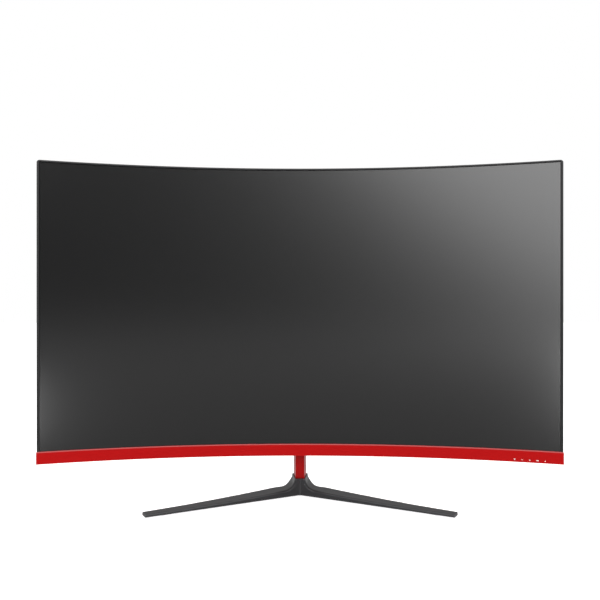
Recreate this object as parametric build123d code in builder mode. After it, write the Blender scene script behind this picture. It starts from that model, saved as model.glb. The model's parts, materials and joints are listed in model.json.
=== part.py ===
from build123d import *

import os
from math import asin, cos, degrees, radians, sin, tan

# Curved 23.6-inch desktop monitor on a V-shaped stand, modelled as it comes apart on a bench.
#
# Frame, in millimetres: +Z up, +X to the viewer's right, and the viewer sits towards -Y.
# The origin is on the desk, under the middle of the whole object's outline.
# The screen is part of a cylinder with a vertical axis in front of it, so every layer of the
# display is described by how far it lies behind the glass, along the screen's own radius.

os.makedirs("parts", exist_ok=True)

# ---------------------------------------------------------------- driving dimensions
# Display head
head_width = 544.0
head_height = 315.0
head_bottom = 51.0
head_top = head_bottom + head_height
half_width = head_width / 2
curve_radius = 1000.0
screen_y = -15.5  # the middle of the glass, front face
arc_centre_y = screen_y - curve_radius
top_corner_radius = 3.0

# Depths behind the glass, along the radius
frame_front = -1.0
frame_back = 5.6
chin_front = -1.8
cover_front = 5.7
cover_back = 12.0
cover_wall = 2.2

# Visible borders
side_border = 2.2
top_border = 1.8
chin_height = 13.0
chin_wall = 1.8
chin_top = head_bottom + chin_height

# Display stack: the picture area, and the glass around it
active_half = 257.6
active_low = 65.0
active_high = active_low + 293.3
stack_half = half_width - side_border - 0.3
stack_low = 58.0
stack_high = head_top - top_border - 0.3

# Electronics housing on the back of the cover
bulge_back_y = screen_y + 46.0
bulge_width = 240.0
bulge_low = 104.0
bulge_high = 304.0
bulge_draft = 35.0
bulge_reach = 46.0

# Steel chassis and the boards on it
plate_front_y = screen_y + 9.5
plate_back_y = plate_front_y + 1.5
plate_half = 124.0
plate_low = 96.0
plate_high = 300.0
board_y = plate_back_y + 3.0
board_back_y = board_y + 1.6
main_board_low = (24.0, 102.0)
main_board_high = (118.0, 160.0)
timing_board_low = (-118.0, 104.0)
timing_board_high = (-32.0, 142.0)
board_hole_inset = 4.0

# Sockets, in a recess low on the housing
recess_low = (30.0, 114.0)
recess_high = (112.0, 138.0)
recess_floor_y = bulge_back_y - 9.0
socket_mouth_y = recess_floor_y + 0.2
socket_z = 126.0
video_sockets = {"video_socket_a": (42.0, 15.0, 5.6), "video_socket_b": (65.0, 17.0, 5.8)}
audio_x = 85.0
audio_bore_radius = 1.8
power_x = 101.0
power_bore_radius = 2.9

# Standard 75 mm square screw mount
mount_pitch = 75.0
mount_centre_z = head_bottom + head_height / 2
mount_hole_radius = 2.0
mount_hole_depth = 14.0
standoff_back_y = bulge_back_y - 0.5

# Neck: a bar that widens from its front face to its back
neck_front_y = 6.5
neck_depth = 20.0
neck_back_y = neck_front_y + neck_depth
neck_half_width = 7.7
neck_face_half = 5.0
neck_foot_z = 6.0
neck_block_z = 112.0  # above this the neck is as wide in front as behind

# Tilt hinge
knuckle_radius = neck_depth / 2
pivot_y = neck_front_y + knuckle_radius
pivot_z = 130.0
pin_radius = 4.0
running_fit = 0.02
side_gap = 0.05
washer_thickness = 1.0
cheek_thickness = 3.0

# Cast base
base_under = 1.0
collar_top = 19.6
collar_half = 9.1
flare_radius = 11.5
leg_end_z = 4.4
crotch_y = 3.8  # where the two legs' front edges would meet
leg_front_angle = 24.7
leg_tip_x = 156.0
leg_tip_back = (161.9, -59.4)
leg_back_angle = 28.7
front_lean = 3.0
heel_root_half = 10.4
heel_end_half = 8.0
heel_end_y = 67.95
heel_root_z = 8.0
heel_end_z = 4.6

# Keys under the right end of the chin
key_names = ("menu", "down", "up", "source", "power")
key_pitch = 7.3
first_key_x = 226.4
key_depth = 4.5
key_length = 5.4
key_breadth = 4.2
key_proud = 0.6
key_travel = 0.5
key_gap = 0.3
key_board_z = head_bottom + 6.0

# ---------------------------------------------------------------- derived places
corner_signs = ((-1, -1), (1, -1), (-1, 1), (1, 1))
mount_spots = [
    (side * mount_pitch / 2, mount_centre_z + up * mount_pitch / 2) for side, up in corner_signs
]
cover_screw_spots = [(side * 100, 227 + up * 57) for side, up in corner_signs]
cover_screw_seat_y = screen_y + 21.2
hinge_screw_spots = [(side * 18, pivot_z + up * 22) for side, up in corner_signs]


def hole_spots(low, high):
    """The four fixing holes of a board, set in from its corners."""
    return [
        (x, z)
        for x in (low[0] + board_hole_inset, high[0] - board_hole_inset)
        for z in (low[1] + board_hole_inset, high[1] - board_hole_inset)
    ]


main_board_spots = hole_spots(main_board_low, main_board_high)
timing_board_spots = hole_spots(timing_board_low, timing_board_high)


# ---------------------------------------------------------------- shared shapes
def curved_plate(front, back, half, z_low, z_high):
    """Plate that follows the screen's arc, from `front` to `back` behind the glass."""
    with BuildPart() as plate:
        with BuildSketch(Plane.XY.offset(z_low)):
            with Locations((0, arc_centre_y)):
                Circle(curve_radius + back)
                Circle(curve_radius + front, mode=Mode.SUBTRACT)
            with Locations((0, screen_y)):
                Rectangle(2 * half, 300, mode=Mode.INTERSECT)
        extrude(amount=z_high - z_low)
    return plate.part


def block(low, high, mode=Mode.ADD):
    """Adds a block between two corners to the piece being built, or cuts it away."""
    middle = tuple((a + b) / 2 for a, b in zip(low, high))
    size = tuple(b - a for a, b in zip(low, high))
    with Locations(middle):
        Box(*size, mode=mode)


def rod_y(spot, radius, y_low, y_high, mode=Mode.ADD):
    """Adds or cuts a round bar along Y through `spot`, an (x, z) place."""
    with Locations((spot[0], (y_low + y_high) / 2, spot[1])):
        Cylinder(radius, y_high - y_low, rotation=(90, 0, 0), mode=mode)


def rod_hinge(radius, x_low, x_high, mode=Mode.ADD):
    """Adds or cuts a round bar on the hinge axis."""
    with Locations(((x_low + x_high) / 2, pivot_y, pivot_z)):
        Cylinder(radius, x_high - x_low, rotation=(0, 90, 0), mode=mode)


def rear_screws(spots, seat_y, head_radius, shank_radius, length):
    """Pan-head screws driven from behind, each with a cross recess in its head."""
    head = head_radius * 0.6
    recess = head * 0.6
    with BuildPart() as screws:
        for spot in spots:
            rod_y(spot, head_radius, seat_y, seat_y + head)
        fillet(screws.edges().group_by(Axis.Y)[-1], head * 0.4)
        for spot in spots:
            rod_y(spot, shank_radius, seat_y - length, seat_y)
            for long, wide in ((1.1, 0.28), (0.28, 1.1)):
                with Locations((spot[0], seat_y + head - recess / 2, spot[1])):
                    Box(head_radius * long, recess, head_radius * wide, mode=Mode.SUBTRACT)
    return screws.part


def key_place(step):
    """Place under the chin, `step` key pitches from the first key, turned to face outwards."""
    reach = curve_radius + key_depth
    angle = asin((first_key_x + step * key_pitch) / reach)
    return Location((reach * sin(angle), arc_centre_y + reach * cos(angle), 0), (0, 0, -degrees(angle)))


pipe_place = key_place(len(key_names) + 0.2)
key_places = [key_place(step) for step in range(len(key_names))]


def neck_outline(gap):
    """Plan of the neck, grown by `gap`: narrow in front and wide behind."""
    with BuildSketch() as outline:
        with BuildLine():
            Polyline(
                (-neck_face_half - gap, neck_front_y - gap),
                (neck_face_half + gap, neck_front_y - gap),
                (neck_half_width + gap, neck_back_y + gap),
                (-neck_half_width - gap, neck_back_y + gap),
                close=True,
            )
        make_face()
        fillet(outline.vertices().group_by(Axis.Y)[-1], 2.5)
    return outline.sketch


def save(name, piece):
    """Labels a finished piece and writes its STEP file."""
    piece.label = name
    export_step(piece, f"parts/{name}.step")
    print(f"{name}: {len(piece.solids())} solids, {piece.volume / 1000:.1f} cm3")


# ---------------------------------------------------------------- front frame
with BuildPart() as front_frame:
    add(curved_plate(frame_front, frame_back, half_width, chin_top, head_top))
    fillet(front_frame.edges().filter_by(Axis.Y).group_by(Axis.Z)[-1], top_corner_radius)
    add(
        curved_plate(
            frame_front - 5,
            frame_back + 5,
            half_width - side_border,
            chin_top - 1,
            head_top - top_border,
        ),
        mode=Mode.SUBTRACT,
    )
save("front_frame", front_frame.part)

# ---------------------------------------------------------------- chin
chin_floor_top = head_bottom + chin_wall
with BuildPart() as chin_bezel:
    add(curved_plate(chin_front, frame_back, half_width, head_bottom, chin_top))
    add(
        curved_plate(-0.1, frame_back + 1, half_width - side_border, chin_floor_top, chin_top + 1),
        mode=Mode.SUBTRACT,
    )
    add(
        curved_plate(
            frame_back - 0.5,
            cover_back - cover_wall - 0.2,
            half_width - 2.2,
            head_bottom,
            chin_floor_top,
        )
    )
    front_edges = chin_bezel.edges().filter_by(
        lambda e: e.geom_type == GeomType.CIRCLE and abs(e.radius - curve_radius - chin_front) < 0.01
    )
    chamfer(front_edges.group_by(Axis.Z)[-1], 1.0)
    chamfer(front_edges.group_by(Axis.Z)[0], 0.5)
    with BuildSketch(Plane.XY.offset(head_bottom - 1)):
        with Locations(*key_places):
            RectangleRounded(key_length + 2 * key_gap, key_breadth + 2 * key_gap, 0.9)
        with Locations(pipe_place):
            Circle(1.0)
    extrude(amount=chin_wall + 2, mode=Mode.SUBTRACT)
save("chin_bezel", chin_bezel.part)

# ---------------------------------------------------------------- display stack
with BuildPart() as lcd_cell:
    add(curved_plate(0, 1.4, stack_half, stack_low, stack_high))
save("lcd_cell", lcd_cell.part)

sheet_low = stack_low + 5.4
sheet_high = stack_high - 3.4
sheet_half = active_half + 5.6
with BuildPart() as mold_frame:
    add(curved_plate(1.5, frame_back - 0.05, stack_half, stack_low, stack_high))
    add(
        curved_plate(1, 3, active_half, active_low, active_high),
        mode=Mode.SUBTRACT,
    )
    add(
        curved_plate(2.2, 8, sheet_half + 0.4, sheet_low - 0.4, sheet_high + 0.4),
        mode=Mode.SUBTRACT,
    )
    add(
        curved_plate(2.2, 8, active_half + 2, stack_low - 1, sheet_low + 1),
        mode=Mode.SUBTRACT,
    )
save("mold_frame", mold_frame.part)

optical_layers = {
    "prism_sheet": (2.3, 2.6),
    "diffuser_sheet": (2.65, 3.05),
    "light_guide_plate": (3.1, 5.1),
    "reflector_sheet": (5.15, 5.4),
}
for name, (front, back) in optical_layers.items():
    with BuildPart() as optical_layer:
        add(curved_plate(front, back, sheet_half, sheet_low, sheet_high))
    save(name, optical_layer.part)

tray_low = stack_low + 0.8
tray_wall = 0.8
with BuildPart() as panel_tray:
    add(curved_plate(5.7, 5.7 + tray_wall, stack_half - 4, tray_low, stack_high))
    add(curved_plate(2.3, 5.7 + tray_wall, active_half + 1.5, tray_low, tray_low + tray_wall))
    for rib_z in (110, 200, 290):
        add(curved_plate(6.4, 7.4, stack_half - 20, rib_z, rib_z + 8))
save("panel_tray", panel_tray.part)

led_bar_low = tray_low + tray_wall + 0.05
led_bar_high = led_bar_low + 0.8
with BuildPart() as led_bar:
    add(curved_plate(2.5, 5.6, active_half, led_bar_low, led_bar_high))
save("led_bar", led_bar.part)

led_count = 42
led_half_angle = 14.4
with BuildPart() as backlight_leds:
    with BuildSketch(Plane.XY.offset(led_bar_high)):
        with Locations((0, arc_centre_y)):
            with PolarLocations(
                curve_radius + 4.1,
                led_count,
                90 - led_half_angle,
                2 * led_half_angle,
                endpoint=True,
            ):
                Rectangle(1.6, 3.6)
    extrude(amount=0.9)
save("backlight_leds", backlight_leds.part)

with BuildPart() as source_boards:
    add(curved_plate(7.6, 8.6, 190, 60, 74))
    block((-14, -80, 50), (14, 40, 80), mode=Mode.SUBTRACT)
save("source_boards", source_boards.part)

# ---------------------------------------------------------------- steel chassis
with BuildPart() as chassis_plate:
    block((-plate_half, plate_front_y, plate_low), (plate_half, plate_back_y, plate_high))
    for inner_x in (-plate_half, plate_half - 1.5):
        block((inner_x, screen_y - 6, plate_low + 14), (inner_x + 1.5, plate_front_y, plate_high))
    with BuildSketch(Plane.XZ.offset(-plate_back_y)):
        with Locations((-80, 228), (80, 228)):
            RectangleRounded(52, 76, 8)
        with Locations((0, mount_centre_z)):
            RectangleRounded(44, 96, 8)
    extrude(amount=10, mode=Mode.SUBTRACT)
    for spot in main_board_spots + timing_board_spots:
        rod_y(spot, 2.8, plate_back_y, board_y)
        rod_y(spot, 1.3, plate_front_y - 1, board_y + 1, mode=Mode.SUBTRACT)
    for spot in cover_screw_spots:
        rod_y(spot, 4.0, plate_back_y, screen_y + 19)
        rod_y(spot, 1.5, plate_front_y - 1, screen_y + 20, mode=Mode.SUBTRACT)
    for spot in hinge_screw_spots:
        rod_y(spot, 1.7, plate_front_y - 1, plate_back_y + 1, mode=Mode.SUBTRACT)
    add(curved_plate(-60, 7.5, 200, plate_low - 5, plate_high + 5), mode=Mode.SUBTRACT)
save("chassis_plate", chassis_plate.part)

with BuildPart() as mount_standoffs:
    for spot in mount_spots:
        rod_y(spot, 4.0, plate_back_y, standoff_back_y)
        rod_y(
            spot,
            mount_hole_radius,
            standoff_back_y - mount_hole_depth,
            standoff_back_y + 1,
            mode=Mode.SUBTRACT,
        )
save("mount_standoffs", mount_standoffs.part)

# ---------------------------------------------------------------- electronics
with BuildPart() as insulation_sheet:
    block(
        (main_board_low[0] + 2, plate_back_y + 0.05, main_board_low[1] - 4),
        (main_board_high[0] + 4, plate_back_y + 0.35, main_board_high[1] + 2),
    )
    for spot in main_board_spots:
        rod_y(spot, 3.2, plate_back_y - 1, plate_back_y + 1, mode=Mode.SUBTRACT)
save("insulation_sheet", insulation_sheet.part)

boards = {
    "main_board": (main_board_low, main_board_high, main_board_spots),
    "timing_board": (timing_board_low, timing_board_high, timing_board_spots),
}
for name, (low, high, spots) in boards.items():
    with BuildPart() as circuit_board:
        block((low[0], board_y, low[1]), (high[0], board_back_y, high[1]))
        for spot in spots:
            rod_y(spot, 1.7, board_y - 1, board_back_y + 1, mode=Mode.SUBTRACT)
    save(name, circuit_board.part)

with BuildPart() as board_components:
    block((60, board_back_y, 142), (80, board_back_y + 1.4, 156))
    block((90, board_back_y, 144), (102, board_back_y + 1.2, 152))
    block((-84, board_back_y, 116), (-68, board_back_y + 1.4, 132))
    for x in (36, 42, 48):
        rod_y((x, 150), 2.5, board_back_y, board_back_y + 7)
    for x in (-104, -50):
        rod_y((x, 124), 3.5, board_back_y, board_back_y + 4)
save("board_components", board_components.part)

sink_y = board_back_y + 1.45
with BuildPart() as heat_sink:
    block((58, sink_y, 141), (82, sink_y + 2, 157))
    for n in range(7):
        fin_x = 58.5 + n * 3.5
        block((fin_x, sink_y + 1.9, 141), (fin_x + 1.2, sink_y + 9, 157))
save("heat_sink", heat_sink.part)

for name, (x, width, height) in video_sockets.items():
    with BuildPart() as video_socket:
        with BuildSketch(Plane.XZ.offset(-socket_mouth_y)):
            with Locations((x, socket_z)):
                RectangleRounded(width, height, 0.9)
        extrude(amount=socket_mouth_y - board_back_y)
        with BuildSketch(Plane.XZ.offset(-socket_mouth_y)):
            with Locations((x, socket_z)):
                RectangleRounded(width - 1.0, height - 1.0, 0.6)
                Rectangle(width - 4.0, 0.9, mode=Mode.SUBTRACT)
        extrude(amount=10, mode=Mode.SUBTRACT)
    save(name, video_socket.part)

audio_spot = (audio_x, socket_z)
with BuildPart() as audio_jack:
    rod_y(audio_spot, 4.0, board_back_y, socket_mouth_y)
    rod_y(audio_spot, audio_bore_radius, socket_mouth_y - 13, socket_mouth_y + 1, mode=Mode.SUBTRACT)
save("audio_jack", audio_jack.part)

power_spot = (power_x, socket_z)
with BuildPart() as power_jack:
    rod_y(power_spot, 4.6, board_back_y, socket_mouth_y)
    rod_y(power_spot, power_bore_radius, socket_mouth_y - 10, socket_mouth_y + 1, mode=Mode.SUBTRACT)
    rod_y(power_spot, 1.0, socket_mouth_y - 10.5, socket_mouth_y - 0.5)
save("power_jack", power_jack.part)

board_screws = rear_screws(main_board_spots + timing_board_spots, board_back_y, 2.6, 1.2, 5.0)
save("board_screws", board_screws)

ribbon_half_width = 5.0
ribbon_x = -50.0
with BuildPart() as panel_ribbon_cable:
    with BuildSketch(Plane.YZ.offset(ribbon_x - ribbon_half_width)):
        with BuildLine():
            FilletPolyline(
                (board_back_y + 0.2, 112),
                (board_back_y + 0.2, 98),
                (screen_y + 7.9, 86),
                (screen_y + 7.9, 63),
                radius=4,
            )
        trace(line_width=0.2)
    extrude(amount=2 * ribbon_half_width)
save("panel_ribbon_cable", panel_ribbon_cable.part)

# ---------------------------------------------------------------- keys
with BuildPart() as key_board:
    with BuildSketch(Plane.XY.offset(key_board_z)):
        with Locations(key_places[2]):
            with Locations((2, 0)):
                Rectangle(46, 6.4)
    extrude(amount=0.8)
save("key_board", key_board.part)

switch_body = 1.3
switch_plunger = 0.4
with BuildPart() as tact_switches:
    with BuildSketch(Plane.XY.offset(key_board_z - switch_body)):
        with Locations(*key_places):
            Rectangle(3.6, 3.4)
    extrude(amount=switch_body)
    with BuildSketch(Plane.XY.offset(key_board_z - switch_body - switch_plunger)):
        with Locations(*key_places):
            Circle(0.9)
    extrude(amount=switch_plunger)
save("tact_switches", tact_switches.part)

flange_low = chin_floor_top + key_gap
flange_high = flange_low + 0.7
key_top = key_board_z - switch_body - switch_plunger - key_travel - 0.2
for name, place in zip(key_names, key_places):
    with BuildPart() as key:
        with BuildSketch(Plane.XY.offset(head_bottom - key_proud)):
            with Locations(place):
                RectangleRounded(key_length, key_breadth, 0.7)
        extrude(amount=flange_high - head_bottom + key_proud)
        chamfer(key.edges().group_by(Axis.Z)[0], 0.25)
        with BuildSketch(Plane.XY.offset(flange_low)):
            with Locations(place):
                Rectangle(key_length + 1.6, key_breadth + 1.6)
        extrude(amount=flange_high - flange_low)
        with BuildSketch(Plane.XY.offset(flange_high)):
            with Locations(place):
                Circle(1.1)
        extrude(amount=key_top - flange_high)
    save(f"{name}_key", key.part)

with BuildPart() as led_light_pipe:
    with BuildSketch(Plane.XY.offset(head_bottom + 0.1)):
        with Locations(pipe_place):
            Circle(0.85)
    extrude(amount=5.4)
    with BuildSketch(Plane.XY.offset(chin_floor_top + 0.05)):
        with Locations(pipe_place):
            Circle(1.5)
    extrude(amount=0.6)
save("led_light_pipe", led_light_pipe.part)


# ---------------------------------------------------------------- rear cover
def housing(inset):
    """Tapered electronics housing, `inset` smaller all round."""
    width = bulge_width - 2 * inset
    height = bulge_high - bulge_low - 2 * inset
    with BuildPart() as body:
        with BuildSketch(Plane.XZ.offset(-(bulge_back_y - inset))):
            with Locations((0, (bulge_low + bulge_high) / 2)):
                RectangleRounded(width, height, 14 - inset)
        extrude(amount=bulge_reach - inset, taper=-bulge_draft)
        fillet(body.edges().group_by(Axis.Y)[-1], 6 - inset)
    return body.part


def cut_recess(margin):
    """Cuts the pocket in which the sockets open, `margin` larger on every closed side."""
    block(
        (recess_low[0] - margin, recess_floor_y - margin, recess_low[1] - margin),
        (recess_high[0] + margin, bulge_back_y + 20, recess_high[1] + margin),
        mode=Mode.SUBTRACT,
    )


def cut_screw_wells(margin):
    """Cuts the round wells of the cover screws, `margin` wider."""
    for spot in cover_screw_spots:
        rod_y(
            spot,
            4.2 + margin,
            cover_screw_seat_y - margin,
            bulge_back_y + 20,
            mode=Mode.SUBTRACT,
        )


with BuildPart() as cover_cavity:
    add(
        curved_plate(
            cover_front - 1,
            cover_back - cover_wall,
            half_width - 2,
            head_bottom - 1,
            head_top - 2,
        )
    )
    add(housing(cover_wall))
    cut_recess(cover_wall)
    cut_screw_wells(1.8)

neck_slot_half = 9.6
neck_slot_top = 144.0
with BuildPart() as rear_cover:
    add(curved_plate(cover_front, cover_back, half_width, head_bottom, head_top))
    fillet(rear_cover.edges().filter_by(Axis.Y).group_by(Axis.Z)[-1], top_corner_radius)
    rim = rear_cover.edges().filter_by(
        lambda e: abs(
            ((e @ 0.5).X ** 2 + ((e @ 0.5).Y - arc_centre_y) ** 2) ** 0.5 - curve_radius - cover_back
        )
        < 0.05
    )
    chamfer(rim, 1.6)
    add(housing(0))
    cut_recess(0)
    cut_screw_wells(0)
    add(cover_cavity.part, mode=Mode.SUBTRACT)
    add(
        curved_plate(-80, cover_front, half_width + 10, head_bottom - 5, head_top + 5),
        mode=Mode.SUBTRACT,
    )
    # slot for the neck, open below and behind
    with BuildSketch(Plane.XZ.offset(-(bulge_back_y + 5))):
        with Locations((0, neck_slot_top - 40)):
            RectangleRounded(2 * neck_slot_half, 80, 3)
    extrude(amount=bulge_back_y + 5 - (screen_y + 13.5), mode=Mode.SUBTRACT)
    # holes for the standoffs and the screws
    for spot in mount_spots:
        rod_y(spot, 4.4, bulge_back_y - 10, bulge_back_y + 5, mode=Mode.SUBTRACT)
    for spot in cover_screw_spots:
        rod_y(spot, 1.8, screen_y + 15, bulge_back_y, mode=Mode.SUBTRACT)
    # windows round the sockets
    with BuildSketch(Plane.XZ.offset(-(recess_floor_y + 1))):
        for x, width, height in video_sockets.values():
            with Locations((x, socket_z)):
                RectangleRounded(width + 0.6, height + 0.6, 1.0)
        with Locations(audio_spot):
            Circle(4.3)
        with Locations(power_spot):
            Circle(4.9)
    extrude(amount=4, mode=Mode.SUBTRACT)
    # ventilation slots, and the slot for a security lock
    with BuildSketch(Plane.XZ.offset(-(bulge_back_y + 1))):
        with Locations((0, 274)):
            with GridLocations(7, 20, 23, 2):
                SlotOverall(14, 2.6, rotation=90)
        with Locations((-96, 126)):
            RectangleRounded(7, 3, 0.6)
    extrude(amount=5, mode=Mode.SUBTRACT)
save("rear_cover", rear_cover.part)

cover_screws = rear_screws(cover_screw_spots, cover_screw_seat_y, 3.2, 1.4, 8.0)
save("rear_cover_screws", cover_screws)

# ---------------------------------------------------------------- tilt hinge
washer_in = neck_half_width + side_gap
cheek_in = washer_in + washer_thickness + side_gap
cheek_out = cheek_in + cheek_thickness
spring_in = cheek_out + side_gap
spring_pitch = 1.2
nut_in = spring_in + 2 * spring_pitch + side_gap
nut_out = nut_in + 4.6
bracket_back_y = plate_back_y + 2.5
cheek_radius = 8.6

with BuildPart() as hinge_bracket:
    block((-24, plate_back_y, 101), (24, bracket_back_y, 159))
    with BuildSketch(Plane.YZ.offset(-cheek_out)):
        with Locations((pivot_y, pivot_z)):
            Circle(cheek_radius)
        with BuildLine():
            Polyline(
                (bracket_back_y - 0.5, pivot_z - 22),
                (pivot_y, pivot_z - cheek_radius),
                (pivot_y, pivot_z + cheek_radius),
                (bracket_back_y - 0.5, pivot_z + 22),
                close=True,
            )
        make_face()
    extrude(amount=2 * cheek_out)
    block((-cheek_in, bracket_back_y, 90), (cheek_in, bulge_back_y, 170), mode=Mode.SUBTRACT)
    rod_hinge(pin_radius + running_fit, -30, 30, mode=Mode.SUBTRACT)
    for spot in hinge_screw_spots:
        rod_y(spot, 2.1, plate_back_y - 1, bracket_back_y + 1, mode=Mode.SUBTRACT)
save("hinge_bracket", hinge_bracket.part)

hinge_screws = rear_screws(hinge_screw_spots, bracket_back_y, 3.6, 1.6, 4.6)
save("hinge_screws", hinge_screws)

with BuildPart() as hinge_pin:
    rod_hinge(6.5, -spring_in - 3.0, -spring_in)
    fillet(hinge_pin.edges().group_by(Axis.X)[0], 0.8)
    rod_hinge(pin_radius, -spring_in, nut_out + 1.5)
    chamfer(hinge_pin.edges().group_by(Axis.X)[-1], 0.6)
save("hinge_pin", hinge_pin.part)

with BuildPart() as friction_washers:
    rod_hinge(8.0, -washer_in - washer_thickness, washer_in + washer_thickness)
    rod_hinge(12.0, -washer_in, washer_in, mode=Mode.SUBTRACT)
    rod_hinge(pin_radius + running_fit, -20, 20, mode=Mode.SUBTRACT)
save("friction_washers", friction_washers.part)

with BuildPart() as spring_washers:
    with BuildSketch(Plane.XY.offset(pivot_z)):
        for n in range(2):
            inner_x = spring_in + spring_pitch * n
            with BuildLine():
                Polyline(
                    (inner_x, pivot_y + pin_radius + running_fit),
                    (inner_x + 0.55, pivot_y + pin_radius + running_fit),
                    (inner_x + 1.15, pivot_y + 7.6),
                    (inner_x + 0.6, pivot_y + 7.6),
                    close=True,
                )
            make_face()
    revolve(axis=Axis((0, pivot_y, pivot_z), (1, 0, 0)))
save("spring_washers", spring_washers.part)

with BuildPart() as hinge_nut:
    with BuildSketch(Plane.YZ.offset(nut_in)):
        with Locations((pivot_y, pivot_z)):
            RegularPolygon(7.4, 6)
            Circle(pin_radius + running_fit, mode=Mode.SUBTRACT)
    extrude(amount=nut_out - nut_in)
save("hinge_nut", hinge_nut.part)

# ---------------------------------------------------------------- neck
neck_screw_spots = ((0, neck_front_y + 5.5), (0, neck_front_y + 14.5))
neck_screw_depth = 10.0
with BuildPart() as neck:
    with BuildSketch(Plane.XY.offset(neck_foot_z)):
        add(neck_outline(0))
    extrude(amount=pivot_z - neck_foot_z)
    block(
        (-neck_half_width, neck_front_y, neck_block_z),
        (neck_half_width, neck_back_y, pivot_z),
    )
    rod_hinge(knuckle_radius, -neck_half_width, neck_half_width)
    rod_hinge(pin_radius + running_fit, -20, 20, mode=Mode.SUBTRACT)
    with Locations(*[(x, y, neck_foot_z + neck_screw_depth / 2) for x, y in neck_screw_spots]):
        Cylinder(1.7, neck_screw_depth, mode=Mode.SUBTRACT)
save("neck", neck.part)

# ---------------------------------------------------------------- base
leg_slope = tan(radians(leg_front_angle))
leg_slope_angle = (leg_front_angle + leg_back_angle) / 2
leg_tip_front = (leg_tip_x, crotch_y - leg_tip_x * leg_slope)
leg_root_x = 20.0
leg_root_y = leg_tip_back[1] + (leg_tip_back[0] - leg_root_x) * tan(radians(leg_back_angle))
collar_back_y = neck_back_y + 1.8
side_slope = (neck_half_width - neck_face_half) / neck_depth
front_plane = Plane(
    (0, crotch_y, base_under),
    x_dir=(1, -leg_slope, 0),
    z_dir=(
        -sin(radians(leg_front_angle)),
        -cos(radians(leg_front_angle)),
        tan(radians(front_lean)),
    ),
)


def leg_top_profile():
    """Solid under the leg's and the hub's top surface, drawn across the leg and swept back."""
    swept = 200.0
    ahead = 120.0
    rim_x = collar_half - side_slope * ahead
    foot_x = rim_x + flare_radius
    with BuildPart() as profile:
        with BuildSketch(Plane.XZ.offset(-(neck_back_y - ahead))):
            with BuildLine():
                RadiusArc((foot_x, collar_top - flare_radius), (rim_x, collar_top), flare_radius)
                RadiusArc((foot_x, collar_top - flare_radius), (190, leg_end_z), -2600)
                Polyline(
                    (190, leg_end_z),
                    (190, base_under),
                    (-40, base_under),
                    (-40, collar_top),
                    (rim_x, collar_top),
                )
            make_face()
        extrude(amount=swept, dir=(side_slope, 1, 0))
    return profile.part


def heel_top_cut():
    """What is cut away behind the collar, down to the heel's sloping top."""
    foot_y = collar_back_y + flare_radius
    with BuildPart() as cut:
        with BuildSketch(Plane.YZ.offset(-30)):
            with BuildLine():
                RadiusArc((collar_back_y, collar_top + 0.1), (foot_y, heel_root_z), -flare_radius)
                Polyline(
                    (foot_y, heel_root_z),
                    (heel_end_y + 5, heel_end_z),
                    (heel_end_y + 5, collar_top + 0.1),
                    (collar_back_y, collar_top + 0.1),
                )
            make_face()
        extrude(amount=60)
    return cut.part


foot_pads = {
    "left_foot_pad": ((-138.0, -53.4), leg_slope_angle, 15.0, 6.0),
    "right_foot_pad": ((138.0, -53.4), -leg_slope_angle, 15.0, 6.0),
    "rear_foot_pad": ((0.0, 57.5), 0.0, 9.0, 9.0),
}
pad_recess = 0.8
screw_head_radius = 3.3
screw_head_depth = 2.2


def foot_pad_plan(place, angle, length, breadth, gap):
    """Plan of a rubber foot, with `gap` round it."""
    with BuildSketch() as plan:
        with Locations(Location((*place, 0), (0, 0, angle))):
            RectangleRounded(length + 2 * gap, breadth + 2 * gap, breadth / 2 - 0.1 + gap)
    return plan.sketch


with BuildPart() as base_half:
    with BuildSketch(Plane.XY.offset(base_under)):
        with BuildLine():
            Polyline(
                (0, crotch_y),
                leg_tip_front,
                leg_tip_back,
                (leg_root_x, leg_root_y),
                (heel_root_half, collar_back_y + 4),
                (heel_end_half, heel_end_y),
                (0, heel_end_y),
                close=True,
            )
        make_face()
    extrude(amount=collar_top - base_under)
    uprights = base_half.edges().filter_by(Axis.Z)
    fillet(uprights.filter_by(lambda e: abs(e.center().X - leg_root_x) < 0.1), 12)
    fillet(uprights.filter_by(lambda e: abs(e.center().X - leg_tip_back[0]) < 0.1), 1.6)
    fillet(uprights.filter_by(lambda e: abs(e.center().X - heel_end_half) < 0.1), 4)
    add(leg_top_profile(), mode=Mode.INTERSECT)
    add(heel_top_cut(), mode=Mode.SUBTRACT)
    split(bisect_by=front_plane, keep=Keep.BOTTOM)
    leading_edges = base_half.edges().filter_by(
        lambda e: abs(front_plane.to_local_coords(e @ 0.5).Z) < 0.05
        and base_under + 1 < (e @ 0.5).Z < collar_top - 0.5
        and e.length > 10
    )
    leading_edges = leading_edges.filter_by(lambda e: (e @ 0.5).X > 1)
    chamfer(leading_edges, 1.1)

with BuildPart() as stand_base:
    add(base_half.part)
    mirror(about=Plane.YZ)
    crease = stand_base.edges().filter_by(
        lambda e: abs((e @ 0.5).X) < 0.01 and (e @ 0.5).Y < neck_front_y and e.length > 5
    )
    fillet(crease, 6.0)
    rim_edges = stand_base.edges().group_by(Axis.Z)[-1]
    chamfer(rim_edges, 0.4)
    with BuildSketch(Plane.XY.offset(neck_foot_z)):
        add(neck_outline(side_gap))
    extrude(amount=collar_top, mode=Mode.SUBTRACT)
    for spot in neck_screw_spots:
        with Locations((*spot, base_under + screw_head_depth / 2)):
            Cylinder(screw_head_radius + 0.4, screw_head_depth, mode=Mode.SUBTRACT)
        with Locations((*spot, neck_foot_z / 2)):
            Cylinder(2.1, neck_foot_z + 1, mode=Mode.SUBTRACT)
    for place, angle, length, breadth in foot_pads.values():
        with BuildSketch(Plane.XY.offset(base_under)):
            add(foot_pad_plan(place, angle, length, breadth, 0.1))
        extrude(amount=pad_recess, mode=Mode.SUBTRACT)
save("stand_base", stand_base.part)

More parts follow.
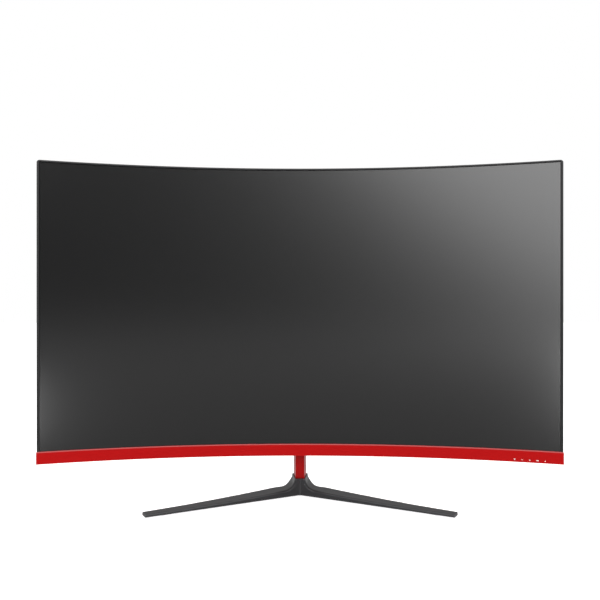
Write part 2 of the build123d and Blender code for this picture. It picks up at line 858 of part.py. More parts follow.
for name, (place, angle, length, breadth) in foot_pads.items():
    with BuildPart() as foot_pad:
        with BuildSketch():
            add(foot_pad_plan(place, angle, length, breadth, 0))
        extrude(amount=base_under + pad_recess)
        chamfer(foot_pad.edges().group_by(Axis.Z)[0], 0.3)
    save(name, foot_pad.part)

with BuildPart() as neck_screws:
    for spot in neck_screw_spots:
        with Locations((*spot, base_under + screw_head_depth / 2 + 0.2)):
            Cylinder(screw_head_radius, screw_head_depth - 0.4)
        with Locations((*spot, base_under + screw_head_depth + 5)):
            Cylinder(1.65, 10.5)
        with BuildSketch(Plane.XY.offset(base_under + 0.4)):
            with Locations(spot):
                RegularPolygon(1.7, 6)
        extrude(amount=1.1, mode=Mode.SUBTRACT)
save("neck_screws", neck_screws.part)
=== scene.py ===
import json
from math import atan2, cos, pi, radians, sin, sqrt

import bmesh
import bpy
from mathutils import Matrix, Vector


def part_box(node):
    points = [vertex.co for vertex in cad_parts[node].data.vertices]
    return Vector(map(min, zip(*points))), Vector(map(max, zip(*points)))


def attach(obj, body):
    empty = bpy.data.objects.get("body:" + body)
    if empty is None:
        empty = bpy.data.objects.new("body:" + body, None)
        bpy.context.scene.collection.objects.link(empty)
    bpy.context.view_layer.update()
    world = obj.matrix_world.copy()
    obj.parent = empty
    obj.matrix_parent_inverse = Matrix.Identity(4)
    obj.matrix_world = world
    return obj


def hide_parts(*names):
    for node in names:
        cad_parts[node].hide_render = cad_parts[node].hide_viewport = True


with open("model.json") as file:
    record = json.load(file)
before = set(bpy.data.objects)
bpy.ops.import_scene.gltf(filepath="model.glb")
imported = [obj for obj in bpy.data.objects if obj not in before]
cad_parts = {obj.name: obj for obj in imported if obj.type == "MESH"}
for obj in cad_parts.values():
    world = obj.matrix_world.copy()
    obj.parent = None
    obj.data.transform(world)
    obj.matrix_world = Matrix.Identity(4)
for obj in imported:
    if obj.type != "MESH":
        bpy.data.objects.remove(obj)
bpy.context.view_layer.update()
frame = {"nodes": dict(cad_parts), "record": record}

# Curved desktop monitor: red chin and neck, dark V-shaped foot, matte screen.
# Metres, in the CAD frame: +Z up, +X to the viewer's right, the viewer sits towards -Y.

MM = 0.001

# ---------------------------------------------------------------- places, from the frame
CURVE_RADIUS = 1000 * MM  # the glass is part of a cylinder with a vertical axis
GLASS_THICKNESS = 1.4 * MM
glass_low, glass_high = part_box("lcd_cell")
SCREEN_Y = glass_high.y - GLASS_THICKNESS
ARC_Y = SCREEN_Y - CURVE_RADIUS

chin_low, chin_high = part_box("chin_bezel")
frame_low, frame_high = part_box("front_frame")
HALF = frame_high.x
HEAD_CENTRE_Z = (chin_low.z + frame_high.z) / 2

# Depths behind the front of the glass, along the radius
FRAME_FRONT = -1.0 * MM
FRAME_BACK = 5.6 * MM
CHIN_FRONT = -1.8 * MM
CHIN_INNER = -0.1 * MM
FLANGE_BACK = 9.6 * MM

SIDE_BORDER = 2.2 * MM
TOP_BORDER = 1.8 * MM
FLOOR_THICKNESS = 1.8 * MM
CORNER_RADIUS = 3.0 * MM
SHARP_ANGLE = radians(28)


def arc_y(x, depth):
    """The y of a point at `x` that lies `depth` behind the front of the glass."""
    return ARC_Y + sqrt((CURVE_RADIUS + depth) ** 2 - x * x)


# ---------------------------------------------------------------- node materials
class Paint:
    """One procedural material, with short ways to add the nodes it is made of."""

    def __init__(self, name, roughness=0.5, metallic=0.0, specular=0.5):
        self.material = bpy.data.materials.new(name)
        self.material.use_nodes = True
        tree = self.material.node_tree
        self.nodes, self.links = tree.nodes, tree.links
        self.shader = self.nodes["Principled BSDF"]
        self.shader.inputs["Roughness"].default_value = roughness
        self.shader.inputs["Metallic"].default_value = metallic
        self.shader.inputs["Specular IOR Level"].default_value = specular
        coordinates = self.node("ShaderNodeTexCoord").outputs
        self.place, self.outward = coordinates["Object"], coordinates["Normal"]

    def node(self, kind, inputs=None, **settings):
        made = self.nodes.new(kind)
        for key, value in settings.items():
            setattr(made, key, value)
        for socket, value in (inputs or {}).items():
            if isinstance(value, bpy.types.NodeSocket):
                self.links.new(value, made.inputs[socket])
            else:
                made.inputs[socket].default_value = value
        return made

    def set(self, socket, value):
        self.links.new(value, self.shader.inputs[socket])

    def scaled(self, stretch):
        mapping = self.node("ShaderNodeMapping", {"Vector": self.place, "Scale": stretch})
        return mapping.outputs["Vector"]

    def noise(self, per_metre, detail=2.0, stretch=(1, 1, 1)):
        """Noise with `per_metre` features in a metre, from 0 to 1."""
        inputs = {"Vector": self.scaled(stretch), "Scale": per_metre, "Detail": detail}
        return self.node("ShaderNodeTexNoise", inputs).outputs["Fac"]

    def cells(self, per_metre, stretch=(1, 1, 1), feature="F1"):
        inputs = {"Vector": self.scaled(stretch), "Scale": per_metre}
        return self.node("ShaderNodeTexVoronoi", inputs, feature=feature).outputs["Distance"]

    def spread(self, value, low, high, start=0.0, end=1.0):
        """`value` taken from the range start..end to the range low..high."""
        inputs = {"Value": value, "From Min": start, "From Max": end, "To Min": low, "To Max": high}
        return self.node("ShaderNodeMapRange", inputs).outputs["Result"]

    def math(self, operation, first, second):
        return self.node("ShaderNodeMath", {0: first, 1: second}, operation=operation).outputs[0]

    def blend(self, factor, first, second):
        """Colour from `first` to `second`. A colour mix has sockets 0, 6 and 7, and its result is 2."""
        mixer = self.node("ShaderNodeMix", {0: factor, 6: first, 7: second}, data_type="RGBA")
        return mixer.outputs[2]

    def edges(self, radius):
        """1 along the edges, 0 on the flats: where a rounded normal leaves the real one."""
        rounded = self.node("ShaderNodeBevel", {"Radius": radius}, samples=6).outputs["Normal"]
        flat = self.node("ShaderNodeNewGeometry").outputs["Normal"]
        likeness = self.node("ShaderNodeVectorMath", {0: rounded, 1: flat}, operation="DOT_PRODUCT")
        return self.spread(likeness.outputs["Value"], 1.0, 0.0, 0.80, 0.995)

    def bevel_highlight_mask(self):
        """1 on faces that slope upwards at about 45 degrees, as a top bevel does, 0 elsewhere: where a
        highlight is painted.
        """
        rise = self.node("ShaderNodeSeparateXYZ", {"Vector": self.outward}).outputs["Z"]
        steep = self.spread(rise, 0.0, 1.0, 0.40, 0.60)
        return self.math("MULTIPLY", steep, self.spread(rise, 1.0, 0.0, 0.85, 0.95))

    def bump(self, height, depth, below=None):
        inputs = {"Height": height, "Distance": depth, "Strength": 1.0}
        if below is not None:
            inputs["Normal"] = below
        return self.node("ShaderNodeBump", inputs).outputs["Normal"]


def shade(colour, factor):
    """A colour made lighter or darker, as a four-number value."""
    return tuple(min(1.0, channel * factor) for channel in colour[:3]) + (1.0,)


# How strongly the painted highlight on an upward sloping bevel is mixed into the colour.
BEVEL_HIGHLIGHT_SHARE = 0.25


def moulded(
    name, colour, roughness, grain=1400, relief=0.012, mottle=0.10, wear=1.35, specular=0.5, bevel=None
):
    """Moulded or painted plastic: a fine grain, faint clouds in its colour, edges a little rubbed.

    A paler colour, if given, is painted on faces that slope upwards: a painted highlight, as on the chin's
    top bevel.
    """
    paint = Paint(name, specular=specular)
    clouds = paint.noise(28, 3)
    body = paint.blend(clouds, shade(colour, 1 - mottle), shade(colour, 1 + mottle))
    speckle = paint.spread(paint.noise(grain, 2), 0.0, 1.0, 0.35, 0.65)
    body = paint.blend(paint.math("MULTIPLY", speckle, 0.25), body, shade(colour, 1 + 2 * mottle))
    rubbed = paint.math("MULTIPLY", paint.edges(0.6 * MM), paint.noise(90, 3))
    body = paint.blend(rubbed, body, shade(colour, wear))
    # Paler colour on the upward sloping bevel: a painted highlight, not the plastic's own colour.
    if bevel is not None:
        body = paint.blend(paint.math("MULTIPLY", paint.bevel_highlight_mask(), BEVEL_HIGHLIGHT_SHARE), body, bevel)
    paint.set("Base Color", body)
    dull = paint.spread(paint.noise(60, 4), roughness - 0.05, roughness + 0.05)
    polished = paint.math("MULTIPLY", rubbed, -0.12)
    paint.set("Roughness", paint.math("ADD", dull, polished))
    paint.set("Normal", paint.bump(paint.noise(grain, 2), relief * MM))
    return paint.material


def casting(name, colour, roughness):
    """Painted die casting: orange-peel grain, and a lighter colour painted along its ridges as a highlight.
    """
    paint = Paint(name, specular=0.22)
    body = paint.blend(paint.noise(28, 3), shade(colour, 0.9), shade(colour, 1.1))
    # Lighter colour on convex ridges, in patches: a painted highlight.
    convex = paint.node("ShaderNodeNewGeometry").outputs["Pointiness"]
    ridge_highlight = paint.spread(convex, 0.0, 1.0, 0.505, 0.535)
    patchy = paint.spread(paint.noise(90, 3), 0.6, 1.0)
    paint.set("Base Color", paint.blend(paint.math("MULTIPLY", ridge_highlight, patchy), body, shade(colour, 3.2)))
    paint.set("Roughness", paint.spread(paint.noise(60, 4), roughness - 0.05, roughness + 0.05))
    paint.set("Normal", paint.bump(paint.noise(1300, 2), 0.02 * MM))
    return paint.material


def metal(name, colour, roughness, stretch=(1, 1, 1), scale=900, relief=0.006, mottle=0.12):
    """Bare or plated metal, brushed along the axis that `stretch` draws out."""
    paint = Paint(name, metallic=1.0)
    grain = paint.noise(scale, 3, stretch)
    body = paint.blend(paint.noise(40, 3), shade(colour, 1 - mottle), shade(colour, 1 + mottle))
    paint.set("Base Color", paint.blend(grain, body, shade(colour, 1.1)))
    paint.set("Roughness", paint.spread(grain, roughness - 0.08, roughness + 0.08))
    paint.set("Normal", paint.bump(grain, relief * MM))
    return paint.material


def screen_glass():
    """Anti-glare film over a panel that is off: near black, with a faint sparkle in the haze."""
    paint = Paint("antiglare_glass", specular=SCREEN_SPECULAR)
    clouds = paint.noise(6, 3)
    paint.set("Base Color", paint.blend(clouds, (0.0022, 0.0022, 0.0023, 1), (0.0030, 0.0030, 0.0032, 1)))
    sparkle = paint.noise(2600, 1)
    paint.set("Roughness", paint.spread(sparkle, SCREEN_ROUGHNESS - 0.03, SCREEN_ROUGHNESS + 0.03))
    paint.set("Normal", paint.bump(paint.noise(3200, 2), 0.0012 * MM))
    return paint.material


def circuit_board(name, colour):
    """Solder mask over copper: a faint maze of tracks and rows of plated dots."""
    paint = Paint(name, roughness=0.35)
    tracks = paint.spread(paint.cells(260, (1, 1, 0.5), "F2"), 0.0, 1.0, 0.35, 0.55)
    mask = paint.blend(tracks, shade(colour, 0.75), shade(colour, 1.3))
    dots = paint.spread(paint.cells(420), 1.0, 0.0, 0.10, 0.16)
    paint.set("Base Color", paint.blend(dots, mask, (0.55, 0.42, 0.22, 1)))
    paint.set("Roughness", paint.spread(tracks, 0.42, 0.28))
    paint.set("Normal", paint.bump(tracks, 0.03 * MM))
    return paint.material


def flat_cable():
    """Flat cable: fine copper lines under a clear amber skin."""
    paint = Paint("flat_cable", roughness=0.32)
    stripes = paint.node(
        "ShaderNodeTexWave",
        {"Vector": paint.place, "Scale": 160.0, "Distortion": 0.0},
        bands_direction="X",
    ).outputs["Fac"]
    paint.set("Base Color", paint.blend(stripes, (0.30, 0.16, 0.05, 1), (0.62, 0.38, 0.14, 1)))
    paint.set("Roughness", paint.spread(paint.noise(300), 0.26, 0.40))
    paint.set("Normal", paint.bump(stripes, 0.02 * MM))
    return paint.material


# ---------------------------------------------------------------- mesh helpers
def piece_of(name, mesh, material, body, slot, *replaced):
    """Links a finished mesh as a piece of the object that rides on `body`."""
    tidy = bmesh.new()
    tidy.from_mesh(mesh)
    bmesh.ops.recalc_face_normals(tidy, faces=tidy.faces)
    tidy.to_mesh(mesh)
    tidy.free()
    mesh.shade_smooth()
    mesh.set_sharp_from_angle(angle=SHARP_ANGLE)
    mesh.materials.clear()
    mesh.materials.append(material)
    piece = bpy.data.objects.new(name, mesh)
    bpy.context.scene.collection.objects.link(piece)
    if replaced:
        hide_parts(*replaced)
    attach(piece, body)
    return piece


def loft(name, rings):
    """Closed skin through rings of equally many points, with its two ends filled."""
    count = len(rings[0])
    points = [point for ring in rings for point in ring]
    faces = [tuple(range(count)), tuple(range(len(points) - count, len(points)))[::-1]]
    for row in range(len(rings) - 1):
        for n in range(count):
            after = (n + 1) % count
            near, far = row * count, (row + 1) * count
            faces.append((near + n, near + after, far + after, far + n))
    mesh = bpy.data.meshes.new(name)
    mesh.from_pydata(points, [], faces)
    work = bmesh.new()
    work.from_mesh(mesh)
    bmesh.ops.remove_doubles(work, verts=work.verts, dist=1e-7)
    bmesh.ops.recalc_face_normals(work, faces=work.faces)
    work.to_mesh(mesh)
    work.free()
    return mesh


def rounded(corners, steps=4):
    """Closed outline through (x, y, radius) corners, each one rounded by an arc."""
    outline = []
    count = len(corners)
    for n, (x, y, radius) in enumerate(corners):
        corner = Vector((x, y))
        if radius == 0:
            outline.append(corner)
            continue
        before = (Vector(corners[n - 1][:2]) - corner).normalized()
        after = (Vector(corners[(n + 1) % count][:2]) - corner).normalized()
        half = before.angle(after) / 2
        centre = corner + (before + after).normalized() * (radius / sin(half))
        start = corner + before * (radius * cos(half) / sin(half)) - centre
        end = corner + after * (radius * cos(half) / sin(half)) - centre
        for step in range(steps + 1):
            turned = start.normalized().slerp(end.normalized(), step / steps)
            outline.append(centre + turned.normalized() * radius)
    return outline


def steps_between(low, high, count):
    return [low + (high - low) * n / count for n in range(count + 1)]


def bent_bar(name, corners, xs):
    """Bar that follows the screen's arc. Its section's corners are (z, depth, radius)."""
    section = rounded(corners)
    return loft(name, [[(x, arc_y(x, depth), z) for z, depth in section] for x in xs])


# ---------------------------------------------------------------- materials, by the record's slots
SCREEN_ROUGHNESS = 0.25
SCREEN_SPECULAR = 0.28

BLACK = (0.0125, 0.0125, 0.013)
RED = (0.44, 0.0036, 0.0040)
# Pale pink painted as a highlight on the chin's top bevel.
BEVEL_HIGHLIGHT_PINK = (0.90, 0.42, 0.42, 1)
NECK_RED = (0.35, 0.0026, 0.0028)
CASTING = (0.026, 0.0265, 0.0285)

materials = {
    "black_frame": moulded("black_frame_plastic", BLACK, 0.42, 1900, 0.008, specular=0.3),
    "black_cover": moulded("black_cover_plastic", BLACK, 0.52, grain=1500, relief=0.03),
    # The chin's top bevel carries a painted highlight in pale pink.
    "red_chin": moulded(
        "red_chin_plastic", RED, 0.40, 2200, 0.004, mottle=0.04, wear=1.25, specular=0.06, bevel=BEVEL_HIGHLIGHT_PINK
    ),
    "screen": screen_glass(),
    "white_moulding": moulded("white_moulding", (0.72, 0.72, 0.70), 0.45, relief=0.006, mottle=0.04),
    "optical_film": moulded("optical_film", (0.80, 0.80, 0.80), 0.30, relief=0.004, mottle=0.02),
    "clear_acrylic": moulded("clear_acrylic", (0.75, 0.78, 0.78), 0.08, relief=0.002, mottle=0.02),
    "bright_metal": metal("bright_steel", (0.62, 0.62, 0.61), 0.32, (0.05, 1, 1)),
    "white_board": circuit_board("white_board", (0.62, 0.62, 0.60)),
    "led_package": moulded("led_package", (0.72, 0.62, 0.22), 0.35, mottle=0.06),
    "green_board": circuit_board("green_board", (0.012, 0.10, 0.035)),
    "zinc_steel": metal("zinc_steel", (0.52, 0.53, 0.54), 0.38, scale=240, mottle=0.2),
    "black_film": moulded("black_film", (0.014, 0.014, 0.014), 0.38, relief=0.003),
    "black_package": moulded("black_package", (0.018, 0.018, 0.019), 0.55, relief=0.008),
    "sink_metal": metal("sink_aluminium", (0.66, 0.67, 0.68), 0.34, (1, 1, 0.06)),
    "zinc_screw": metal("zinc_screw", (0.60, 0.60, 0.58), 0.30, scale=1600),
    "ribbon": flat_cable(),
    "switch_body": moulded("switch_body", (0.03, 0.03, 0.032), 0.48),
    "hinge_steel": metal("hinge_steel", (0.42, 0.42, 0.43), 0.40, scale=500, mottle=0.18),
    "black_screw": metal("black_screw", (0.035, 0.035, 0.037), 0.36, scale=1600),
    "brass_insert": metal("brass_insert", (0.62, 0.44, 0.20), 0.32, scale=1200),
    "socket_shell": metal("socket_shell", (0.58, 0.58, 0.58), 0.26, (1, 0.08, 1)),
    "jack_plastic": moulded("jack_plastic", (0.016, 0.016, 0.017), 0.40),
    "red_neck": moulded("red_neck_paint", NECK_RED, 0.34, 2000, 0.004, mottle=0.04, wear=1.2, specular=0.08),
    "grey_casting": casting("grey_casting_paint", CASTING, 0.42),
    "foot_rubber": moulded("foot_rubber", (0.020, 0.020, 0.020), 0.75, grain=900, relief=0.02),
    "black_key": moulded("black_key", (0.016, 0.016, 0.017), 0.38),
}
slot_of = {part["node"]: part["material_slot"] for part in frame["record"]["subparts"]}

for node, cad_object in frame["nodes"].items():
    for spot in cad_object.material_slots:
        spot.material = materials[slot_of[node]]


# ---------------------------------------------------------------- head: glass
STATIONS = 144


def make_glass():
    low, high = glass_low.z, glass_high.z
    edge = 0.25 * MM
    corners = (
        (low, 0, edge),
        (high, 0, edge),
        (high, GLASS_THICKNESS, edge),
        (low, GLASS_THICKNESS, edge),
    )
    mesh = bent_bar("screen_glass", corners, steps_between(glass_low.x, glass_high.x, STATIONS))
    piece_of("screen_glass", mesh, materials["screen"], "head", "screen", "lcd_cell")


make_glass()


# ---------------------------------------------------------------- head: border at the sides and the top
def border_paths():
    """The border's outer and inner lines in (x, z), point for point, up one side and down the other."""
    top, bottom = frame_high.z, frame_low.z
    inner_half, inner_top = HALF - SIDE_BORDER, top - TOP_BORDER
    inner_corner = 0.6 * MM
    outer, inner = [(-HALF, bottom)], [(-inner_half, bottom)]
    turn = 10
    for side in (-1, 1):
        arc_outer, arc_inner = [], []
        for n in range(turn + 1):
            angle = (pi / 2) * n / turn
            dx, dz = side * cos(angle), sin(angle)
            centre_x, centre_z = side * (HALF - CORNER_RADIUS), top - CORNER_RADIUS
            arc_outer.append((centre_x + dx * CORNER_RADIUS, centre_z + dz * CORNER_RADIUS))
            centre_x, centre_z = side * (inner_half - inner_corner), inner_top - inner_corner
            arc_inner.append((centre_x + dx * inner_corner, centre_z + dz * inner_corner))
        if side > 0:
            arc_outer.reverse()
            arc_inner.reverse()
            reach = HALF - CORNER_RADIUS
            for x in steps_between(-reach, reach, STATIONS)[1:-1]:
                outer.append((x, top))
                inner.append((x * (inner_half - inner_corner) / reach, inner_top))
        outer += arc_outer
        inner += arc_inner
    outer.append((HALF, bottom))
    inner.append((inner_half, bottom))
    return outer, inner


def make_border():
    """The black frame round the glass: rounded outside, a small lip inside."""
    edge = 0.7 * MM
    lip = 0.25 * MM
    quarter = [(pi / 2) * n / 4 for n in range(5)]
    rings = []
    for outer, inner in zip(*border_paths()):
        outer, inner = Vector(outer), Vector(inner)
        across = (inner - outer).normalized()
        width = (inner - outer).length
        section = [(edge * (1 - sin(a)), FRAME_FRONT + edge * (1 - cos(a))) for a in reversed(quarter)]
        section += [(width - lip * (1 - sin(a)), FRAME_FRONT + lip * (1 - cos(a))) for a in quarter]
        section += [(width, FRAME_BACK), (0, FRAME_BACK)]
        ring = []
        for reach, depth in section:
            x, z = outer + across * reach
            ring.append((x, arc_y(x, depth), z))
        rings.append(ring)
    mesh = loft("front_border", rings)
    piece_of("front_border", mesh, materials["black_frame"], "head", "black_frame", "front_frame")


make_border()


# ---------------------------------------------------------------- visible CAD pieces, with softened edges
def softened(node, name, body, width):
    """The CAD node's shape as a piece of its own, with its hard edges rounded by `width`."""
    mesh = frame["nodes"][node].data.copy()
    mesh.name = name
    work = bmesh.new()
    work.from_mesh(mesh)
    bmesh.ops.remove_doubles(work, verts=work.verts, dist=1e-6)
    bmesh.ops.dissolve_limit(work, angle_limit=radians(0.3), verts=work.verts, edges=work.edges)
    work.to_mesh(mesh)
    work.free()
    if "custom_normal" in mesh.attributes:
        mesh.attributes.remove(mesh.attributes["custom_normal"])
    slot = slot_of[node]
    piece = piece_of(name, mesh, materials[slot], body, slot, node)
    bevel = piece.modifiers.new("edges", "BEVEL")
    bevel.width = width
    bevel.segments = 2
    bevel.limit_method = "ANGLE"
    bevel.angle_limit = radians(32)
    bevel.harden_normals = True
    bevel.use_clamp_overlap = True
    return piece


softened("neck", "neck_bar", "stand", 0.5 * MM)


def smooth_step(value, start, end):
    share = min(1.0, max(0.0, (value - start) / (end - start)))
    return share * share * (3 - 2 * share)


FOOT_VOXEL = 0.45 * MM
BLEND_START, BLEND_END = 16 * MM, 30 * MM  # how far out from the middle the hub's blend fades away
BLEND_TURNS = 90
BLEND_SHARE = 0.6
RIDGE_HALF_WIDTH = 1.1 * MM
RIDGE_RISE = 0.8 * MM


def blend_share(place, neck_low, neck_high, hub_top):
    """How much a point of the foot is smoothed: 1 on the hub's flanks, 0 on the legs, rim and socket."""
    x, y, z = place
    near = 1 - smooth_step(abs(x), BLEND_START, BLEND_END)
    beside_neck = abs(x) < neck_high.x + 1.5 * MM
    ahead = smooth_step(neck_low.y - y, -2.0 * MM, 2.0 * MM) if beside_neck else 1.0
    below_rim = 1 - smooth_step(z, hub_top - 2.5 * MM, hub_top - 0.5 * MM)
    return near * ahead * (smooth_step(z, 3.0 * MM, 6.0 * MM) * below_rim)


def make_foot():
    """The cast foot: remade in small even faces, its hub blended into the legs, a low ridge in front."""
    name = "v_foot"
    foot = softened("stand_base", name, "stand", 0.3 * MM)
    remesh = foot.modifiers.new("even", "REMESH")
    remesh.mode = "VOXEL"
    remesh.voxel_size = FOOT_VOXEL
    depsgraph = bpy.context.evaluated_depsgraph_get()
    mesh = bpy.data.meshes.new_from_object(foot.evaluated_get(depsgraph))
    foot.modifiers.clear()
    neck_low, neck_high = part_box("neck")
    hub_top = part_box("stand_base")[1].z
    work = bmesh.new()
    work.from_mesh(mesh)
    shares = [blend_share(vert.co, neck_low, neck_high, hub_top) for vert in work.verts]
    for turn in range(BLEND_TURNS):
        moved = []
        for vert, share in zip(work.verts, shares):
            if share > 0.01:
                around = [edge.other_vert(vert).co for edge in vert.link_edges]
                mean = sum(around, Vector()) / len(around)
                moved.append((vert, vert.co.lerp(mean, BLEND_SHARE * share)))
        for vert, place in moved:
            vert.co = place
    work.normal_update()
    for vert in work.verts:
        facing = smooth_step(-vert.normal.y, 0.3, 0.7)
        below_neck = 1 - smooth_step(vert.co.z, hub_top - 1.5 * MM, hub_top - 0.5 * MM)
        ridge = max(0.0, 1 - abs(vert.co.x) / RIDGE_HALF_WIDTH)
        vert.co.y -= RIDGE_RISE * facing * below_neck * ridge
    work.to_mesh(mesh)
    work.free()
    mesh.shade_smooth()
    mesh.set_sharp_from_angle(angle=radians(32))
    foot.data = mesh


make_foot()
for node, body, width in (
    ("rear_cover", "head", 0.35 * MM),
    ("rear_cover_screws", "head", 0.12 * MM),
    ("left_foot_pad", "stand", 0.2 * MM),
    ("right_foot_pad", "stand", 0.2 * MM),
    ("rear_foot_pad", "stand", 0.2 * MM),
    ("mount_standoffs", "head", 0.12 * MM),
    ("video_socket_a", "head", 0.10 * MM),
    ("video_socket_b", "head", 0.10 * MM),
    ("audio_jack", "head", 0.10 * MM),
    ("power_jack", "head", 0.10 * MM),
    ("led_light_pipe", "head", 0.08 * MM),
):
    softened(node, node + "_shell" if node == "rear_cover" else node + "_fine", body, width)
for key in ("menu", "down", "up", "source", "power"):
    softened(key + "_key", key + "_keycap", key + "_button", 0.12 * MM)


# ---------------------------------------------------------------- head: chin
KEY_NODES = ("menu_key", "down_key", "up_key", "source_key", "power_key")
OPENING_LENGTH = 6.0 * MM
OPENING_BREADTH = 4.8 * MM
OPENING_CORNER = 0.9 * MM
PIPE_OPENING_RADIUS = 1.0 * MM


def chin_section(closed):
    """The chin's section as (z, depth) points: solid if `closed`, else a front wall and a floor."""
    low, high = chin_low.z, chin_high.z
    floor_top = low + FLOOR_THICKNESS
    inside = FRAME_BACK if closed else CHIN_INNER
    flange = FRAME_BACK if closed else FLANGE_BACK
    front = rounded(
        [
            (low, flange, 0),
            (low, FRAME_BACK, 0),
            (low, CHIN_FRONT, 0.5 * MM),
            (high - 1.0 * MM, CHIN_FRONT, 0.25 * MM),
            (high, CHIN_FRONT + 1.0 * MM, 0.2 * MM),
            (high, CHIN_INNER, 0),
        ]
    )
    return front + [(high, inside), (floor_top, inside), (floor_top, FRAME_BACK), (floor_top, flange)]


def opening_outlines():
    """Outlines in (x, y) of the holes under the keys and the light pipe, turned to the arc."""
    outlines = []
    across, deep = OPENING_LENGTH / 2, OPENING_BREADTH / 2
    key_corners = ((-across, -deep), (across, -deep), (across, deep), (-across, deep))
    key_outline = rounded([(x, y, OPENING_CORNER) for x, y in key_corners])
    pipe_outline = [
        Vector((cos(2 * pi * n / 32), sin(2 * pi * n / 32))) * PIPE_OPENING_RADIUS for n in range(32)
    ]
    for node in KEY_NODES + ("led_light_pipe",):
        low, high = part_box(node)
        centre = Vector(((low.x + high.x) / 2, (low.y + high.y) / 2))
        turn = atan2(centre.x, centre.y - ARC_Y)
        along, away = Vector((cos(turn), -sin(turn))), Vector((sin(turn), cos(turn)))
        outline = pipe_outline if node == "led_light_pipe" else key_outline
        outlines.append([centre + along * u + away * v for u, v in outline])
    return outlines


def with_openings(mesh, outlines, low, high):
    """The mesh with a straight hole from `low` up to `high` for each outline."""
    work = bmesh.new()
    for outline in outlines:
        prism = loft("prism", [[(x, y, z) for x, y in outline] for z in (low, high)])
        work.from_mesh(prism)
        bpy.data.meshes.remove(prism)
    cutter_mesh = bpy.data.meshes.new("cutter")
    work.to_mesh(cutter_mesh)
    work.free()
    solid = bpy.data.objects.new("solid", mesh)
    cutter = bpy.data.objects.new("cutter", cutter_mesh)
    for made in (solid, cutter):
        bpy.context.scene.collection.objects.link(made)
    boolean = solid.modifiers.new("openings", "BOOLEAN")
    boolean.operation = "DIFFERENCE"
    boolean.solver = "EXACT"
    boolean.object = cutter
    depsgraph = bpy.context.evaluated_depsgraph_get()
    cut = bpy.data.meshes.new_from_object(solid.evaluated_get(depsgraph))
    bpy.data.objects.remove(solid)
    bpy.data.objects.remove(cutter)
    return cut


def make_chin():
    """Red bar under the glass, closed at its two ends, with openings for the keys in its floor."""
    inner_half = HALF - SIDE_BORDER
    stations = [(-HALF, True), (-inner_half, True)]
    stations += [(x, False) for x in steps_between(-inner_half, inner_half, STATIONS)]
    stations += [(inner_half, True), (HALF, True)]
    rings = [[(x, arc_y(x, depth), z) for z, depth in chin_section(closed)] for x, closed in stations]
    below, above = chin_low.z - 1 * MM, chin_low.z + FLOOR_THICKNESS + 1 * MM
    mesh = with_openings(loft("chin_bar", rings), opening_outlines(), below, above)
    piece_of("chin_bar", mesh, materials["red_chin"], "head", "red_chin", "chin_bezel")


make_chin()


# ---------------------------------------------------------------- head: marks over the keys
MARK_SIZE = 1.0 * MM
MARK_RISE = 2.7 * MM
MARK_SHIFT = 0.9 * MM  # the marks sit a little to the left of the keys' middles


def on_chin(x, rise, proud):
    """A point on the chin's front face, `rise` above its lower edge and `proud` of it."""
    return (x, arc_y(x, CHIN_FRONT) - proud, chin_low.z + rise)


def make_mark(name, centre_x, outline):
    """Thin printed mark: a closed outline of (x, z) points about its own centre."""
    thickness = 0.04 * MM
    rings = []
    for proud in (thickness, -0.02 * MM):
        rings.append([on_chin(centre_x + x, MARK_RISE + z, proud) for x, z in outline])
    piece_of(name, loft(name, rings), mark_ink, "head", "white_moulding")


def make_marks():
    """Five generic control marks in white ink: triangle, chevron, dot, dash and a small upward arrowhead."""
    size = MARK_SIZE
    triangle = [(-size, 0.8 * size), (size, 0.8 * size), (0, -0.9 * size)]
    chevron = [
        (-0.9 * size, 0.8 * size),
        (-0.6 * size, 0.8 * size),
        (0, -0.3 * size),
        (0.6 * size, 0.8 * size),
        (0.9 * size, 0.8 * size),
        (0, -0.8 * size),
    ]
    dot = [(0.55 * size * cos(2 * pi * n / 24), 0.55 * size * sin(2 * pi * n / 24)) for n in range(24)]
    dash_corners = ((-1.2, -0.5), (1.2, -0.5), (1.2, 0.5), (-1.2, 0.5))
    dash = rounded([(x * size, z * size, 0.45 * size) for x, z in dash_corners])
    arrow = [(-0.6 * size, -0.7 * size), (0.6 * size, -0.7 * size), (0, 0.8 * size)]
    marks = {"triangle": triangle, "chevron": chevron, "dot": dot, "dash": dash, "arrow": arrow}
    for node, (label, outline) in zip(KEY_NODES, marks.items()):
        low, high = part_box(node)
        make_mark(f"mark_{label}", (low.x + high.x) / 2 - MARK_SHIFT, outline)


mark_ink = moulded("white_ink", (0.80, 0.72, 0.71), 0.45, relief=0.003, mottle=0.05, wear=1.0)
make_marks()


# ---------------------------------------------------------------- studio
ROOM_AHEAD = 0.25
ROOM_BEHIND = 0.7
FLOOR_GLOW = 0.42
FLOOR_GLOW_SEEN = 0.80  # what the camera sees, so that the paper is as white as the room
WHITE = (1, 1, 1, 1)


def make_floor():
    """Pale paper floor, wide enough to meet the room."""
    reach = 12.0
    rim = [(reach * cos(2 * pi * n / 64), reach * sin(2 * pi * n / 64), 0) for n in range(64)]
    mesh = bpy.data.meshes.new("studio_floor")
    mesh.from_pydata(rim, [], [tuple(range(64))])
    floor = bpy.data.objects.new("studio_floor", mesh)
    bpy.context.scene.collection.objects.link(floor)
    paint = Paint("studio_paper", roughness=0.9, specular=0.1)
    paint.set("Base Color", paint.blend(paint.noise(3), (0.90, 0.90, 0.90, 1), (0.93, 0.93, 0.93, 1)))
    paint.shader.inputs["Emission Color"].default_value = WHITE
    seen = paint.node("ShaderNodeLightPath").outputs["Is Camera Ray"]
    paint.set("Emission Strength", paint.spread(seen, FLOOR_GLOW, FLOOR_GLOW_SEEN))
    mesh.materials.append(paint.material)


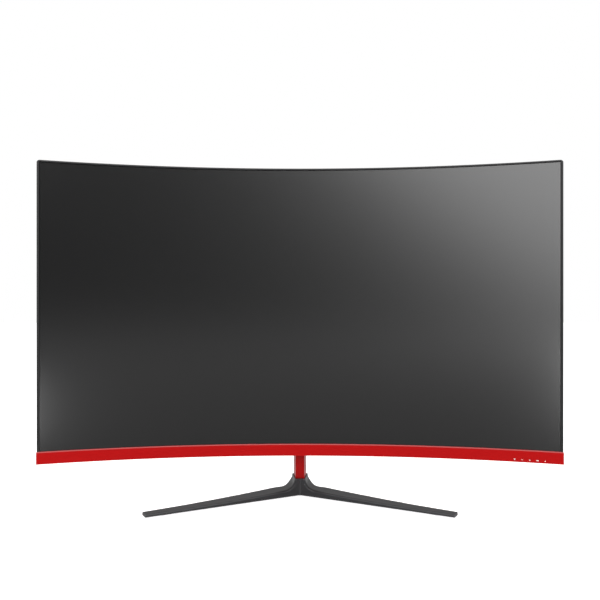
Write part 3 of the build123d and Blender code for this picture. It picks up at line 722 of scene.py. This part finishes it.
def make_room():
    """White all round as seen directly, and darker in front of the object for what falls on it."""
    world = bpy.data.worlds.new("studio_room")
    world.use_nodes = True
    bpy.context.scene.world = world
    nodes, links = world.node_tree.nodes, world.node_tree.links
    split = nodes.new("ShaderNodeSeparateXYZ")
    links.new(nodes.new("ShaderNodeTexCoord").outputs["Generated"], split.inputs[0])
    ahead = nodes.new("ShaderNodeMapRange")
    links.new(split.outputs["Y"], ahead.inputs["Value"])
    for socket, value in (
        ("From Min", -0.35),
        ("From Max", 0.25),
        ("To Min", ROOM_AHEAD),
        ("To Max", ROOM_BEHIND),
    ):
        ahead.inputs[socket].default_value = value
    strength = nodes.new("ShaderNodeMix")
    links.new(nodes.new("ShaderNodeLightPath").outputs["Is Camera Ray"], strength.inputs[0])
    links.new(ahead.outputs["Result"], strength.inputs[2])
    strength.inputs[3].default_value = 1.0
    nodes["Background"].inputs["Color"].default_value = WHITE
    links.new(strength.outputs[0], nodes["Background"].inputs["Strength"])


def softbox(name, position, target, size, radiance, works_on):
    """Rectangular studio light that faces `target`, and works on gloss alone (GLOSS) or on all (BOTH)."""
    width, height = size
    data = bpy.data.lights.new(name, "AREA")
    data.shape = "RECTANGLE"
    data.size = width
    data.size_y = height
    data.energy = radiance * width * height * pi
    light = bpy.data.objects.new(name, data)
    light.location = position
    light.rotation_euler = (Vector(target) - Vector(position)).to_track_quat("-Z", "Y").to_euler()
    light.visible_camera = False
    light.visible_diffuse = works_on != "GLOSS"
    bpy.context.scene.collection.objects.link(light)
    return light


head_centre = (0, SCREEN_Y, HEAD_CENTRE_Z)
make_floor()
make_room()
low_left = (glass_low.x, SCREEN_Y, glass_low.z)
low_right = (glass_high.x, SCREEN_Y, glass_low.z)
screen_panels = (
    softbox("key_reflection", (0.47, -0.565, 0.456), head_centre, (0.89, 1.47), 12.8, "GLOSS"),
    softbox("low_left_reflection", (-0.38, -0.20, 0.05), low_left, (0.26, 0.10), 22.0, "GLOSS"),
    softbox("low_right_reflection", (0.37, -0.18, 0.09), low_right, (0.20, 0.14), 42.0, "GLOSS"),
    softbox("high_left_reflection", (-0.45, -0.30, 0.52), head_centre, (0.30, 0.40), 14.0, "GLOSS"),
)
softbox("top_light", (0, -0.1, 1.6), (0, -0.05, 0), (2.4, 1.2), 1.2, "BOTH")
front_light = softbox("front_light", (0, -2.2, 1.1), head_centre, (2.4, 1.2), 3.0, "BOTH")
edge_light = softbox("edge_light", (0, -0.75, 1.45), (0, 0, 0.1), (2.0, 0.4), 11.0, "GLOSS")


def link_to_screen(lights, state):
    """Makes the lights reach the screen alone (INCLUDE), or everything but the screen (EXCLUDE)."""
    group = bpy.data.collections.new("screen_" + state.lower())
    group.objects.link(bpy.data.objects["screen_glass"])
    group.collection_objects[0].light_linking.link_state = state
    for light in lights:
        light.light_linking.receiver_collection = group


link_to_screen(screen_panels, "INCLUDE")
link_to_screen([front_light, edge_light], "EXCLUDE")

# ---------------------------------------------------------------- camera
CAMERA_DISTANCE = 636 * MM
LENS = 34.74  # millimetres, on a sensor 36 mm wide
SHIFT_UP = 0.0201
camera_data = bpy.data.cameras.new("camera")
camera_data.lens = LENS
camera_data.sensor_width = 36
camera_data.shift_y = SHIFT_UP
camera = bpy.data.objects.new("camera", camera_data)
camera.location = (0, SCREEN_Y - CAMERA_DISTANCE, HEAD_CENTRE_Z)
camera.rotation_euler = (pi / 2, 0, 0)
bpy.context.scene.collection.objects.link(camera)
bpy.context.scene.camera = camera
bpy.context.scene.view_settings.view_transform = "Standard"
